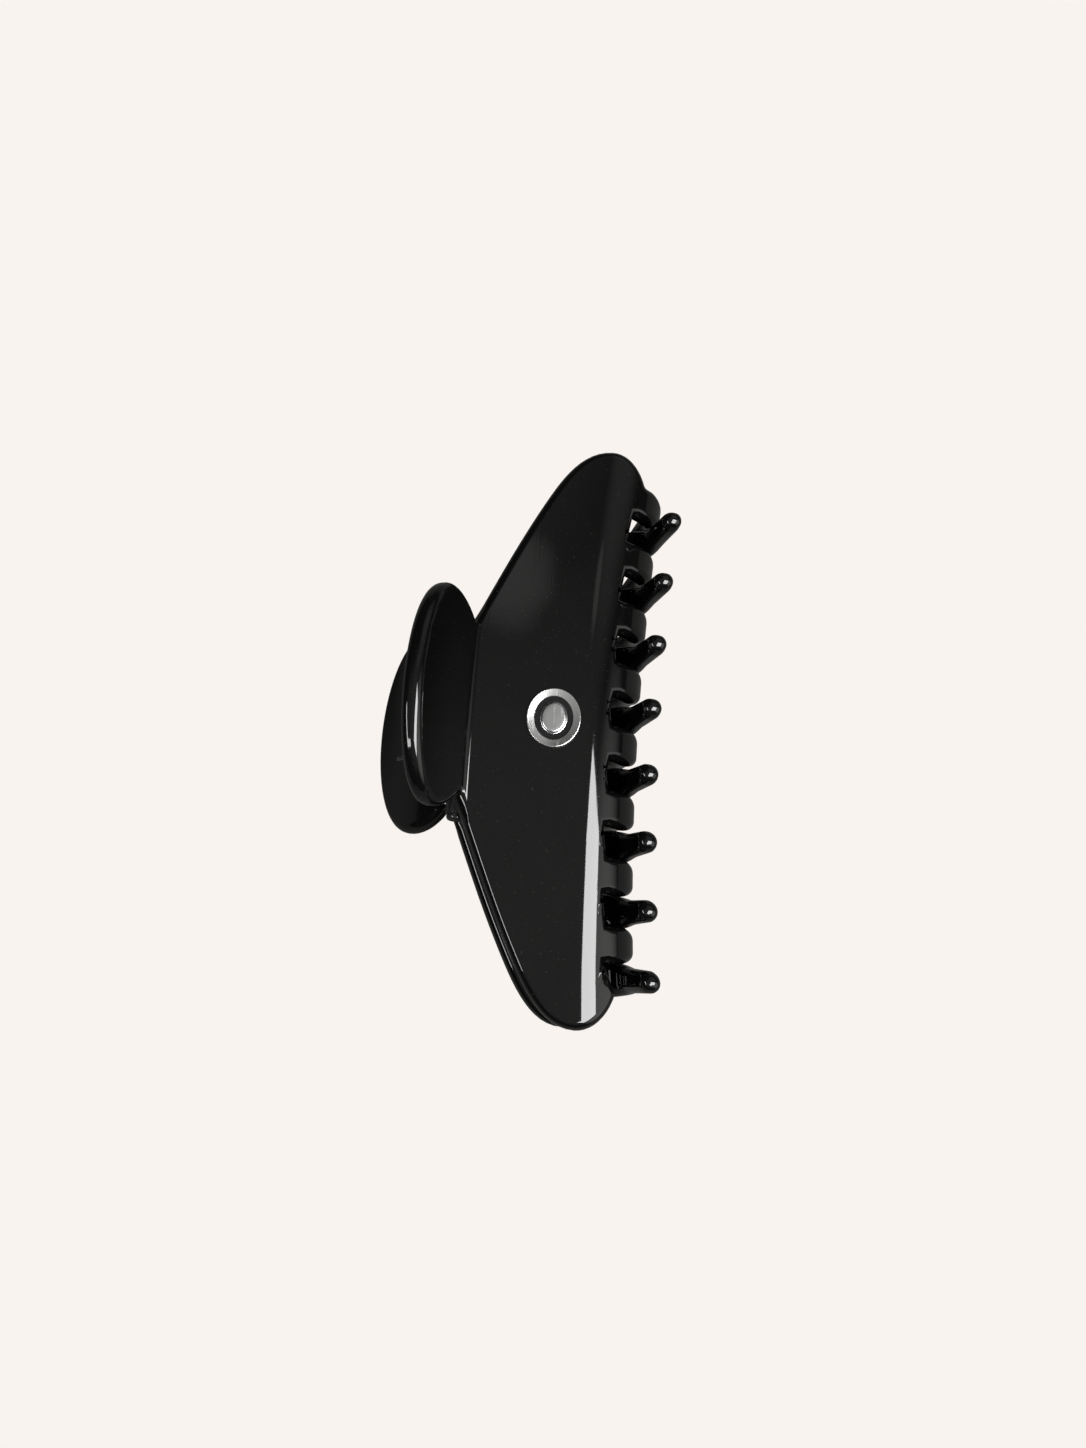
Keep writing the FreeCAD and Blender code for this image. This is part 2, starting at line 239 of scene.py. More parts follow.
def smooth_curve(points, first, last, count):
    """Cubic spline through points, with a direction at each end."""
    points = np.array(points, float)
    steps = np.linalg.norm(np.diff(points, axis=0), axis=1)
    knots = np.concatenate(((0.0,), np.cumsum(steps)))
    size = len(points)
    matrix = np.zeros((size, size))
    right = np.zeros((size, 2))
    matrix[0, 0] = matrix[-1, -1] = 1.0
    right[0] = np.array(first) / np.linalg.norm(first)
    right[-1] = np.array(last) / np.linalg.norm(last)
    for i in range(1, size - 1):
        before, after = steps[i - 1], steps[i]
        matrix[i, i - 1 : i + 2] = (after, 2 * (before + after), before)
        rise = (points[i + 1] - points[i]) / after * before
        rise = rise + (points[i] - points[i - 1]) / before * after
        right[i] = 3 * rise
    slopes = np.linalg.solve(matrix, right)
    made = []
    for knot in np.linspace(0.0, knots[-1], count):
        i = min(int(np.searchsorted(knots, knot, side="right")) - 1, size - 2)
        t = (knot - knots[i]) / steps[i]
        made.append(
            (1 + 2 * t) * (1 - t) ** 2 * points[i]
            + t * (1 - t) ** 2 * steps[i] * slopes[i]
            + t * t * (3 - 2 * t) * points[i + 1]
            + t * t * (t - 1) * steps[i] * slopes[i + 1]
        )
    return made


def slot_y(index):
    return ((TOOTH_COUNT - 1) / 2 - index) * PITCH - PITCH / 4


def slot_half_width(z):
    """Half the width of the space between two teeth at a height."""
    if z >= TAPER[0][0]:
        return TAPER[0][1]
    for (high, wide), (low, wider) in zip(TAPER, TAPER[1:]):
        if z >= low:
            return wide + (wider - wide) * (high - z) / (high - low)
    return TAPER[-1][1]


def side_point(index, side, distance):
    """Point on one side of a slot, on the flat blank."""
    y = slot_y(index)
    for _ in range(2):
        z = along(distance)[0][1] - bow(y)[1]
        y = slot_y(index) + side * slot_half_width(z)
    return np.array((distance, y))


def slot_root(index):
    """Round end of a slot on the flat blank, from its higher Y to its lower Y."""
    y = slot_y(index)
    radius = SLOT_WIDTH / 2
    centre = SLOT_ROOT_X + bow(y)[0] + radius
    points = []
    for step in range(SLOT_ROOT_STEPS + 1):
        turn = math.radians(180 - 180 * step / SLOT_ROOT_STEPS)
        x = centre - radius * math.sin(turn)
        points.append(flat_from_above(x, y - radius * math.cos(turn)))
    return points


def stations():
    """Distances along the sheet where it is divided, close together where it turns."""
    cuts = []
    for start, stretch, step in zip(STARTS, STRETCHES, CUT_SPACING):
        count = round(stretch[3] / step)
        cuts += [start + stretch[3] * i / count for i in range(count)]
    return cuts[1:] + [STARTS[-1] + STRETCHES[-1][3]]


def tooth_end(y):
    """Distance along the sheet at which a tooth reaches its full depth."""
    drop = bow(y)[1]
    high = STARTS[TOOTH] + 2 * TOOTH_LENGTH
    return solved(lambda distance: drop - along(distance)[0][1], -TIP_Z, STARTS[BEND], high)


def side_run(index, side, start, end):
    """Side of a tooth from its root towards its tip."""
    inner = [cut for cut in stations() if start + SIDE_CLEAR < cut < end - SIDE_CLEAR]
    return [side_point(index, side, distance) for distance in [start] + inner + [end]]


def tooth(index):
    """Outline of one tooth: its side of lower Y, the round of its tip, and its other side."""
    middle = (slot_y(index) + slot_y(index - 1)) / 2
    end = tooth_end(middle)
    half = PITCH / 2 - slot_half_width(TIP_Z)
    shoulder = end - half * TIP_STRETCH
    lower = side_run(index, 1, slot_root(index)[-1][0], shoulder)
    upper = side_run(index - 1, -1, root_side(index - 1), shoulder)
    tip = []
    for step in range(1, TIP_STEPS):
        turn = math.radians(-90 + 180 * step / TIP_STEPS)
        distance = shoulder + half * TIP_STRETCH * math.cos(turn)
        tip.append(np.array((distance, middle + half * math.sin(turn))))
    return lower, tip, upper[::-1]


def root_side(index):
    """Where a slot's straight side begins. Past the end tooth, that is at the face's edge."""
    if index < 0:
        y = slot_y(-1) - SLOT_WIDTH / 2
        return flat_from_above(end_round_x(end_round_turn(y)), y)[0]
    return slot_root(index)[0][0]


def turned_corner(before, corner, after, radius):
    """A path through a corner, with the corner rounded."""
    inward = (corner - before[-1]) / np.linalg.norm(corner - before[-1])
    outward = (after[0] - corner) / np.linalg.norm(after[0] - corner)
    turn = math.acos(max(-1.0, min(1.0, float(inward @ outward))))
    reach = radius * math.tan(turn / 2)
    before = [point for point in before if np.linalg.norm(point - corner) > reach * CORNER_CLEAR]
    after = [point for point in after if np.linalg.norm(point - corner) > reach * CORNER_CLEAR]
    hand = math.copysign(1.0, inward[0] * outward[1] - inward[1] * outward[0])
    side = hand * np.array((-inward[1], inward[0]))
    centre = corner - inward * reach + side * radius
    count = max(4, round(math.degrees(turn) / CORNER_STEP))
    arc = []
    for step in range(count + 1):
        angle = turn * step / count
        spoke = centre - side * radius * math.cos(angle)
        arc.append(spoke + inward * radius * math.sin(angle))
    return before + arc + after


def end_round_turn(y):
    """How far round the end of the face a y lies."""
    return math.acos(1 - (HALF_SPAN - abs(y)) / END_ROUND_Y)


def end_round_x(turn):
    return EDGE_POINTS[-1][0] + END_ROUND_X * math.sin(turn)


def tab_half_width(distance):
    half = TAB_HALF_LENGTH if distance < TAB_CENTRE else TAB_ROOT_HALF_LENGTH
    return TAB_HALF_WIDTH * math.sqrt(max(0.0, 1 - ((distance - TAB_CENTRE) / half) ** 2))


def notch(side):
    """Corner where the oval tab meets the edge of the face."""
    first_x, first_y = EDGE_POINTS[0]

    def gap(distance):
        x = along(distance)[0][0] + bow(first_y)[0]
        edge = first_y + (x - first_x) * EDGE_START[1] / EDGE_START[0]
        return edge - tab_half_width(distance) - side * TAB_SHIFT

    distance = solved(gap, 0.0, TAB_CENTRE, STARTS[FACE])
    return np.array((distance, TAB_SHIFT + side * tab_half_width(distance)))


def half_edge(side, last_y):
    """Outline of one half of the face, from the notch to a y on the round of its end."""
    curve = smooth_curve(EDGE_POINTS, EDGE_START, EDGE_END, EDGE_STEPS)
    points = [tuple(point) for point in curve]
    last = end_round_turn(last_y)
    for step in range(1, END_STEPS + 1):
        turn = last * step / END_STEPS
        points.append((end_round_x(turn), HALF_SPAN - END_ROUND_Y * (1 - math.cos(turn))))
    edge = [flat_from_above(x, side * y) for x, y in points]
    return [point for point in edge if point[0] > notch(side)[0] + NOTCH_CLEAR]


def half_tab(side):
    """Outline of one half of the oval tab, from its tip to the notch."""
    last = notch(side)[0] - TAB_CENTRE
    points = []
    for step in range(TAB_STEPS):
        turn = math.pi - math.pi * step / TAB_STEPS
        half = TAB_HALF_LENGTH if turn > math.pi / 2 else TAB_ROOT_HALF_LENGTH
        reach = half * math.cos(turn)
        if reach < last - NOTCH_CLEAR:
            y = TAB_SHIFT + side * TAB_HALF_WIDTH * math.sin(turn)
            points.append(np.array((TAB_CENTRE + reach, y)))
    return points


def jaw_outline():
    """Closed outline of the flat blank, anticlockwise, with the teeth to the right."""
    low_edge = half_edge(-1, slot_y(TOOTH_COUNT - 1) - SLOT_WIDTH / 2)
    high_edge = half_edge(1, slot_y(-1) - SLOT_WIDTH / 2)
    outline = turned_corner(half_tab(-1), notch(-1), low_edge[:-1], NOTCH_ROUND)
    outline = turned_corner(outline, low_edge[-1], slot_root(TOOTH_COUNT - 1), LOBE_ROUND)
    for index in range(TOOTH_COUNT - 1, -1, -1):
        lower, tip, upper = tooth(index)
        outline += lower[1:] + tip + upper[:-1]
        if index > 0:
            outline += slot_root(index - 1)
    outline = turned_corner(outline, high_edge[-1], high_edge[-2::-1], NOTCH_ROUND)
    outline = turned_corner(outline, notch(1), half_tab(1)[::-1], NOTCH_ROUND)
    kept = []
    for point in outline:
        if not kept or np.linalg.norm(point - kept[-1]) > SHORTEST_STEP:
            kept.append(point)
    return np.array(kept[:-1])


def flat_blank(edge_round, round_steps):
    """Mesh of the flat blank with rounded edges, in the plane of its outline."""
    outline = jaw_outline()
    ahead = np.roll(outline, -1, axis=0) - outline
    ahead /= np.linalg.norm(ahead, axis=1)[:, None]
    heading = ahead + np.roll(ahead, 1, axis=0)
    heading /= np.linalg.norm(heading, axis=1)[:, None]
    outward = np.stack((heading[:, 1], -heading[:, 0]), axis=1)
    flat = SHEET / 2 - edge_round
    rings = [(-90 + 90 * step / round_steps, -flat) for step in range(round_steps + 1)]
    rings += [(90 * step / round_steps, flat) for step in range(round_steps + 1)]
    mesh = bmesh.new()
    layer = mesh.verts.layers.float_vector.new("facing")
    made = []
    for angle, height in rings:
        turn = math.radians(angle)
        ring = []
        for point, out in zip(outline, outward):
            place = point - out * edge_round * (1 - math.cos(turn))
            z = height + edge_round * math.sin(turn)
            vertex = mesh.verts.new((place[0], place[1], z))
            vertex[layer] = (out[0] * math.cos(turn), out[1] * math.cos(turn), math.sin(turn))
            ring.append(vertex)
        made.append(ring)
    count = len(outline)
    for below, above in zip(made, made[1:]):
        for i in range(count):
            j = (i + 1) % count
            mesh.faces.new((below[i], below[j], above[j], above[i]))
    mesh.faces.new(made[-1])
    mesh.faces.new(made[0][::-1])
    return mesh


def deselect_all():
    bpy.ops.object.select_all(action="DESELECT")


def select_only(piece):
    deselect_all()
    piece.select_set(True)
    bpy.context.view_layer.objects.active = piece


def new_object(name, mesh):
    piece = bpy.data.objects.new(name, mesh)
    bpy.context.scene.collection.objects.link(piece)
    select_only(piece)
    return piece


def divide(piece):
    """Cuts the blank across, closely where it will turn, and lengthwise."""
    bpy.ops.object.mode_set(mode="EDIT")
    for distance in stations():
        bpy.ops.mesh.select_all(action="SELECT")
        bpy.ops.mesh.bisect(plane_co=(distance, 0, 0), plane_no=(1, 0, 0), threshold=CUT_MERGE)
    for step in range(-LENGTHWISE_CUTS, LENGTHWISE_CUTS + 1):
        y = LENGTHWISE_SPACING * step
        bpy.ops.mesh.select_all(action="SELECT")
        bpy.ops.mesh.bisect(plane_co=(0, y, 0), plane_no=(0, 1, 0), threshold=CUT_MERGE)
    bpy.ops.object.mode_set(mode="OBJECT")


def bent(distance, y, height, facing):
    """A point of the blank and its facing, bent to shape, in the hinge's frame."""
    point, heading = along(distance, height)
    _, _, turn, length = STRETCHES[stretch_at(distance)]
    stretch = 1 - height * math.radians(turn) / length
    lengthwise = facing[0] / stretch
    size = math.sqrt(lengthwise**2 + facing[1] ** 2 + facing[2] ** 2)
    flat = (direction(heading) * lengthwise + left_of(heading) * facing[2]) / size
    across = facing[1] / size
    towards = direction(-SWEEP_TILT)
    centre = np.array(SWEEP_CENTRE) + towards * SWEEP_RADIUS
    radius = float((centre - point) @ towards)
    point = point + towards * sag(y, radius)
    swing = math.asin(y / radius)
    back = float(flat @ -towards)
    side = back * math.sin(swing) + across * math.cos(swing)
    flat = flat + -towards * (back * math.cos(swing) - across * math.sin(swing) - back)
    return Vector((point[0], y, point[1])), Vector((flat[0], side, flat[1]))


def at_rest():
    """From the hinge's frame in millimetres to the table in metres."""
    tilt = Matrix.Rotation(math.radians(REST_TILT), 4, "Y")
    return Matrix.Translation(HINGE) @ tilt @ Matrix.Scale(MM, 4)


def shape_jaw(piece, turn_over):
    """Bends the divided blank and lays it in its place."""
    mesh = piece.data
    over = Matrix.Rotation(math.pi, 4, "X") if turn_over else Matrix.Identity(4)
    place = at_rest() @ over
    swing = (Matrix.Rotation(math.radians(REST_TILT), 4, "Y") @ over).to_3x3()
    facings = mesh.attributes["facing"]
    normals = []
    for vertex in mesh.vertices:
        facing = Vector(facings.data[vertex.index].vector).normalized()
        point, normal = bent(*vertex.co, facing)
        vertex.co = place @ point
        normals.append((swing @ normal).normalized())
    mesh.attributes.remove(facings)
    mesh.shade_smooth()
    mesh.normals_split_custom_set_from_vertices(normals)
    mesh.update()


# Materials ------------------------------------------------------------------

SCRATCH_STRETCH = (1.0, 0.08, 1.0)
SCRATCH_TURN = (0.2, 0.3, 0.5)
SCRATCH_RANGE = (0.56, 0.72)
SPECK_SIZE = 2600.0
SPECK_RANGE = (0.68, 0.76)
DUST_COLOUR = (0.35, 0.34, 0.32, 1.0)


def add_node(tree, kind, x, y, **settings):
    made = tree.nodes.new(kind)
    made.location = (x, y)
    for name, value in settings.items():
        setattr(made, name, value)
    return made


def link(tree, source, target):
    tree.links.new(source, target)


def surface_marks():
    """Group: scratches, dust and slow waves of a polished surface, as roughness and height."""
    group = bpy.data.node_groups.get("surface_marks")
    if group:
        return group
    group = bpy.data.node_groups.new("surface_marks", "ShaderNodeTree")
    interface = group.interface
    for name, default in (
        ("Roughness", 0.08),
        ("Scratches", 0.04),
        ("Dust", 0.1),
        ("Waves", 0.5),
        ("Scratch Size", 900.0),
        ("Wave Size", 70.0),
    ):
        socket = interface.new_socket(name, in_out="INPUT", socket_type="NodeSocketFloat")
        socket.default_value = default
    for name in ("Roughness", "Height", "Dust"):
        interface.new_socket(name, in_out="OUTPUT", socket_type="NodeSocketFloat")
    entry = add_node(group, "NodeGroupInput", -900, 0)
    leave = add_node(group, "NodeGroupOutput", 700, 0)
    place = add_node(group, "ShaderNodeTexCoord", -1100, 300)
    squeeze = add_node(group, "ShaderNodeMapping", -900, 300)
    squeeze.inputs["Scale"].default_value = SCRATCH_STRETCH
    squeeze.inputs["Rotation"].default_value = SCRATCH_TURN
    link(group, place.outputs["Object"], squeeze.inputs["Vector"])
    hairs = add_node(group, "ShaderNodeTexNoise", -680, 300)
    hairs.inputs["Detail"].default_value = 4.0
    link(group, squeeze.outputs["Vector"], hairs.inputs["Vector"])
    link(group, entry.outputs["Scratch Size"], hairs.inputs["Scale"])
    thin = add_node(group, "ShaderNodeMapRange", -480, 300)
    thin.inputs["From Min"].default_value = SCRATCH_RANGE[0]
    thin.inputs["From Max"].default_value = SCRATCH_RANGE[1]
    link(group, hairs.outputs["Fac"], thin.inputs["Value"])
    scratches = add_node(group, "ShaderNodeMath", -260, 300, operation="MULTIPLY")
    link(group, thin.outputs["Result"], scratches.inputs[0])
    link(group, entry.outputs["Scratches"], scratches.inputs[1])
    specks = add_node(group, "ShaderNodeTexNoise", -680, 0)
    specks.inputs["Scale"].default_value = SPECK_SIZE
    specks.inputs["Detail"].default_value = 2.0
    link(group, place.outputs["Object"], specks.inputs["Vector"])
    dots = add_node(group, "ShaderNodeMapRange", -480, 0)
    dots.inputs["From Min"].default_value = SPECK_RANGE[0]
    dots.inputs["From Max"].default_value = SPECK_RANGE[1]
    link(group, specks.outputs["Fac"], dots.inputs["Value"])
    dust = add_node(group, "ShaderNodeMath", -260, 0, operation="MULTIPLY")
    link(group, dots.outputs["Result"], dust.inputs[0])
    link(group, entry.outputs["Dust"], dust.inputs[1])
    slow = add_node(group, "ShaderNodeTexNoise", -680, -300)
    slow.inputs["Detail"].default_value = 1.0
    link(group, place.outputs["Object"], slow.inputs["Vector"])
    link(group, entry.outputs["Wave Size"], slow.inputs["Scale"])
    waves = add_node(group, "ShaderNodeMath", -260, -300, operation="MULTIPLY")
    link(group, slow.outputs["Fac"], waves.inputs[0])
    link(group, entry.outputs["Waves"], waves.inputs[1])
    rough = add_node(group, "ShaderNodeMath", 0, 200, operation="ADD")
    link(group, scratches.outputs[0], rough.inputs[0])
    link(group, entry.outputs["Roughness"], rough.inputs[1])
    rougher = add_node(group, "ShaderNodeMath", 220, 200, operation="ADD", use_clamp=True)
    link(group, rough.outputs[0], rougher.inputs[0])
    link(group, dust.outputs[0], rougher.inputs[1])
    height = add_node(group, "ShaderNodeMath", 220, -100, operation="SUBTRACT")
    link(group, waves.outputs[0], height.inputs[0])
    link(group, scratches.outputs[0], height.inputs[1])
    link(group, rougher.outputs[0], leave.inputs["Roughness"])
    link(group, height.outputs[0], leave.inputs["Height"])
    link(group, dust.outputs[0], leave.inputs["Dust"])
    return group


def finish(
    name, dark, light, tone_size, marks, metallic=0.0, ior=1.5, bump=0.1, bump_depth=0.0001
):
    """Material with a slow change of tone and the marks of handling."""
    material = bpy.data.materials.new(name)
    material.use_nodes = True
    tree = material.node_tree
    shader = tree.nodes["Principled BSDF"]
    shader.location = (500, 0)
    shader.inputs["Metallic"].default_value = metallic
    shader.inputs["IOR"].default_value = ior
    group = add_node(tree, "ShaderNodeGroup", -200, -100, node_tree=surface_marks())
    for socket, value in marks.items():
        group.inputs[socket].default_value = value
    place = add_node(tree, "ShaderNodeTexCoord", -800, 250)
    cloud = add_node(tree, "ShaderNodeTexNoise", -600, 250)
    cloud.inputs["Scale"].default_value = tone_size
    cloud.inputs["Detail"].default_value = 3.0
    link(tree, place.outputs["Object"], cloud.inputs["Vector"])
    tone = add_node(tree, "ShaderNodeMix", -380, 250, data_type="RGBA")
    tone.inputs["A"].default_value = (*dark, 1.0)
    tone.inputs["B"].default_value = (*light, 1.0)
    link(tree, cloud.outputs["Fac"], tone.inputs["Factor"])
    dusty = add_node(tree, "ShaderNodeMix", 100, 250, data_type="RGBA")
    dusty.inputs["B"].default_value = DUST_COLOUR
    link(tree, tone.outputs["Result"], dusty.inputs["A"])
    link(tree, group.outputs["Dust"], dusty.inputs["Factor"])
    link(tree, dusty.outputs["Result"], shader.inputs["Base Color"])
    link(tree, group.outputs["Roughness"], shader.inputs["Roughness"])
    relief = add_node(tree, "ShaderNodeBump", 250, -250)
    relief.inputs["Strength"].default_value = bump
    relief.inputs["Distance"].default_value = bump_depth
    link(tree, group.outputs["Height"], relief.inputs["Height"])
    link(tree, relief.outputs["Normal"], shader.inputs["Normal"])
    return material


def dress(piece, *materials):
    piece.data.materials.clear()
    for material in materials:
        piece.data.materials.append(material)


# Settings -------------------------------------------------------------------


class JawSettings(bpy.types.PropertyGroup):
    edge_round: FloatProperty(
        name="Edge rounding",
        description="Radius of the polished edge all round the sheet",
        default=0.00155,
        min=0.0005,
        max=0.0017,
        precision=5,
        unit="LENGTH",
    )
    round_steps: IntProperty(
        name="Rounding steps",
        description="Faces across each half of the rounded edge",
        default=6,
        min=2,
        max=12,
    )
    dark_tone: FloatVectorProperty(
        name="Acetate, dark",
        description="Deeper tone of the black acetate",
        subtype="COLOR",
        default=(0.0014, 0.0014, 0.0014),
        min=0.0,
        max=1.0,
    )
    light_tone: FloatVectorProperty(
        name="Acetate, light",
        description="Lighter tone of the black acetate",
        subtype="COLOR",
        default=(0.0030, 0.0029, 0.0028),
        min=0.0,
        max=1.0,
    )


class EmblemSettings(bpy.types.PropertyGroup):
    half_x: FloatProperty(
        name="Half width", description="Half the plaque's size from tab to teeth",
        default=0.0047, unit="LENGTH", precision=5,
    )
    half_y: FloatProperty(
        name="Half length", description="Half the plaque's size along the hinge",
        default=0.0052, unit="LENGTH", precision=5,
    )
    height: FloatProperty(
        name="Height", description="Thickness of the plaque",
        default=0.0011, unit="LENGTH", precision=5,
    )
    rim: FloatProperty(
        name="Rim", description="Width of the raised rim",
        default=0.0013, unit="LENGTH", precision=5,
    )
    field: FloatProperty(
        name="Field", description="Width of the sunk enamel round the middle stud",
        default=0.0012, unit="LENGTH", precision=5,
    )
    recess: FloatProperty(
        name="Recess", description="Depth of the sunk enamel",
        default=0.0004, unit="LENGTH", precision=5,
    )
    silver: FloatVectorProperty(
        name="Silver", description="Colour of the plaque's rim and stud", subtype="COLOR",
        default=(0.78, 0.78, 0.78), min=0.0, max=1.0,
    )


class HingeSettings(bpy.types.PropertyGroup):
    wire_radius: FloatProperty(
        name="Wire radius", description="Radius of the spring's wire",
        default=0.00045, unit="LENGTH", precision=5,
    )
    coil_radius: FloatProperty(
        name="Coil radius", description="Radius of the spring's coil to the middle of its wire",
        default=0.00155, unit="LENGTH", precision=5,
    )
    steel: FloatVectorProperty(
        name="Steel", description="Colour of the drawn spring wire", subtype="COLOR",
        default=(0.30, 0.30, 0.31), min=0.0, max=1.0,
    )


class StageSettings(bpy.types.PropertyGroup):
    backdrop: FloatVectorProperty(
        name="Backdrop", description="Colour of the table and of all behind it", subtype="COLOR",
        default=(0.939, 0.896, 0.863), min=0.0, max=1.0,
    )
    room: FloatProperty(
        name="Room light", description="Brightness of the soft light from all round",
        default=0.02, min=0.0,
    )
    distance: FloatProperty(
        name="Camera distance", description="From the camera to what it looks at",
        default=0.2064, unit="LENGTH",
    )
    lens: FloatProperty(
        name="Lens", description="Focal length in millimetres", default=28.57, min=10.0,
    )


class ClawSettings(bpy.types.PropertyGroup):
    jaws: PointerProperty(type=JawSettings)
    emblem: PointerProperty(type=EmblemSettings)
    hinge: PointerProperty(type=HingeSettings)
    stage: PointerProperty(type=StageSettings)


# Operators ------------------------------------------------------------------


class CLAW_OT_jaws(bpy.types.Operator):
    """Bend both jaws from one rounded blank and give them polished black acetate"""

    bl_idname = "claw.jaws"
    bl_label = "Jaws"

    def execute(self, context):
        settings = context.scene.claw.jaws
        blank = flat_blank(settings.edge_round / MM, settings.round_steps)
        mesh = bpy.data.meshes.new("front_jaw_acetate")
        blank.to_mesh(mesh)
        blank.free()
        front = new_object("front_jaw_acetate", mesh)
        divide(front)
        rear = new_object("rear_jaw_acetate", front.data.copy())
        acetate = finish(
            "polished_black_acetate",
            settings.dark_tone,
            settings.light_tone,
            tone_size=90.0,
            marks={"Roughness": 0.05, "Scratches": 0.03, "Dust": 0.05, "Waves": 1.0},
            ior=1.49,
            bump=0.25,
            bump_depth=0.0003,
        )
        for piece, node, body, over in (
            (front, "front_jaw", "front", False),
            (rear, "rear_jaw", "rear", True),
        ):
            shape_jaw(piece, over)
            dress(piece, acetate)
            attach(piece, body)
            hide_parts(node)
        return {"FINISHED"}


def seat_on_face(x, offset):
    """Frame on the wide face at an x, with its Z outward, in the hinge's frame."""
    distance = flat_from_above(x, 0.0)[0]
    point, heading = along(distance, offset)
    turn = Matrix.Rotation(math.radians(-heading), 4, "Y")
    return Matrix.Translation((point[0], 0, point[1])) @ turn


class CLAW_OT_emblem(bpy.types.Operator):
    """Model the oval plaque on the front jaw, silver round a ring of black enamel"""

    bl_idname = "claw.emblem"
    bl_label = "Emblem"

    def execute(self, context):
        settings = context.scene.claw.emblem
        deselect_all()
        bpy.ops.mesh.primitive_cylinder_add(
            vertices=EMBLEM_SEGMENTS,
            radius=1.0,
            depth=settings.height,
            location=(0, 0, settings.height / 2),
        )
        plaque = context.object
        plaque.name = "emblem_oval_plaque"
        plaque.scale = (settings.half_x, settings.half_y, 1.0)
        bpy.ops.object.transform_apply(location=True, rotation=True, scale=True)
        bpy.ops.object.mode_set(mode="EDIT")
        mesh = bmesh.from_edit_mesh(plaque.data)
        for face in mesh.faces:
            face.select_set(face.normal.z > FACING_UP)
        bmesh.update_edit_mesh(plaque.data)
        bpy.ops.mesh.inset(thickness=settings.rim)
        bpy.ops.transform.translate(value=(0, 0, -settings.recess))
        bpy.ops.mesh.inset(thickness=settings.field)
        bpy.ops.mesh.inset(thickness=STUD_CHAMFER)
        bpy.ops.transform.translate(value=(0, 0, settings.recess))
        bpy.ops.mesh.inset(thickness=STUD_MARGIN)
        bpy.ops.mesh.select_all(action="SELECT")
        bpy.ops.mesh.faces_shade_smooth()
        bpy.ops.object.mode_set(mode="OBJECT")
        bevel = plaque.modifiers.new("soft_edges", "BEVEL")
        bevel.width = EMBLEM_BEVEL
        bevel.segments = EMBLEM_BEVEL_STEPS
        bevel.limit_method = "ANGLE"
        bevel.angle_limit = math.radians(EMBLEM_CREASE)
        bpy.ops.object.modifier_apply(modifier=bevel.name)
        keep = plaque.modifiers.new("even_shading", "WEIGHTED_NORMAL")
        keep.keep_sharp = False
        bpy.ops.object.modifier_apply(modifier=keep.name)
        floor = settings.height - settings.recess
        sunk = [
            face.normal.z > FACING_UP and abs(face.center.z - floor) < LEVEL_TOLERANCE
            for face in plaque.data.polygons
        ]
        seat = seat_on_face(EMBLEM_X, SHEET / 2 - EMBLEM_SEAT)
        plaque.matrix_world = at_rest() @ seat @ Matrix.Scale(1 / MM, 4)
        bpy.ops.object.transform_apply(location=True, rotation=True, scale=True)
        silver = finish(
            "polished_silver_plate",
            [value * 0.9 for value in settings.silver],
            settings.silver,
            tone_size=400.0,
            marks={
                "Roughness": 0.24,
                "Scratches": 0.12,
                "Dust": 0.05,
                "Waves": 0.6,
                "Scratch Size": 1400.0,
            },
            metallic=1.0,
            bump=0.15,
            bump_depth=0.00005,
        )
        enamel = finish(
            "black_enamel_field",
            (0.004, 0.004, 0.004),
            (0.010, 0.010, 0.010),
            tone_size=900.0,
            marks={
                "Roughness": 0.12,
                "Scratches": 0.05,
                "Dust": 0.05,
                "Waves": 0.6,
                "Scratch Size": 1400.0,
            },
        )
        dress(plaque, silver, enamel)
        plaque.data.polygons.foreach_set("material_index", [int(inside) for inside in sunk])
        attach(plaque, "front")
        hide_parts("emblem_plaque")
        return {"FINISHED"}


class CLAW_OT_spring(bpy.types.Operator):
    """Wind the torsion spring, with a leg against each tab"""

    bl_idname = "claw.spring"
    bl_label = "Spring"

    def execute(self, context):
        settings = context.scene.claw.hinge
        deselect_all()
        radius = settings.coil_radius / MM
        points = []
        for step in range(COIL_STEPS + 1):
            turn = math.radians(COIL_START_ANGLE + 360 * COIL_TURNS * step / COIL_STEPS)
            y = COIL_HALF_LENGTH * (1 - 2 * step / COIL_STEPS)
            points.append(Vector((radius * math.cos(turn), y, radius * math.sin(turn))))
        first = (points[0] - points[1]).normalized()
        last = (points[-1] - points[-2]).normalized()
        points = [points[0] + first * LEG_LENGTH] + points + [points[-1] + last * LEG_LENGTH]
        curve = bpy.data.curves.new("torsion_spring_wire", "CURVE")
        curve.dimensions = "3D"
        curve.bevel_depth = settings.wire_radius / MM
        curve.bevel_resolution = WIRE_ROUNDNESS
        curve.use_fill_caps = True
        line = curve.splines.new("POLY")
        line.points.add(len(points) - 1)
        for target, point in zip(line.points, points):
            target.co = (*point, 1.0)
        new_object("torsion_spring_wire", curve)
        bpy.ops.object.convert(target="MESH")
        spring = context.object
        spring.data.transform(at_rest())
        bpy.ops.object.mode_set(mode="EDIT")
        bpy.ops.mesh.select_all(action="SELECT")
        bpy.ops.mesh.remove_doubles(threshold=WIRE_MERGE)
        bpy.ops.mesh.normals_make_consistent(inside=False)
        bpy.ops.object.mode_set(mode="OBJECT")
        bpy.ops.object.shade_smooth_by_angle(angle=math.radians(WIRE_SMOOTH_ANGLE))
        steel = finish(
            "drawn_spring_wire",
            [value * 0.7 for value in settings.steel],
            settings.steel,
            tone_size=900.0,
            marks={"Roughness": 0.28, "Scratches": 0.15, "Dust": 0.1, "Scratch Size": 2500.0},
            metallic=1.0,
        )
        dress(spring, steel)
        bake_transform(spring)
        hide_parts("torsion_spring")
        return {"FINISHED"}


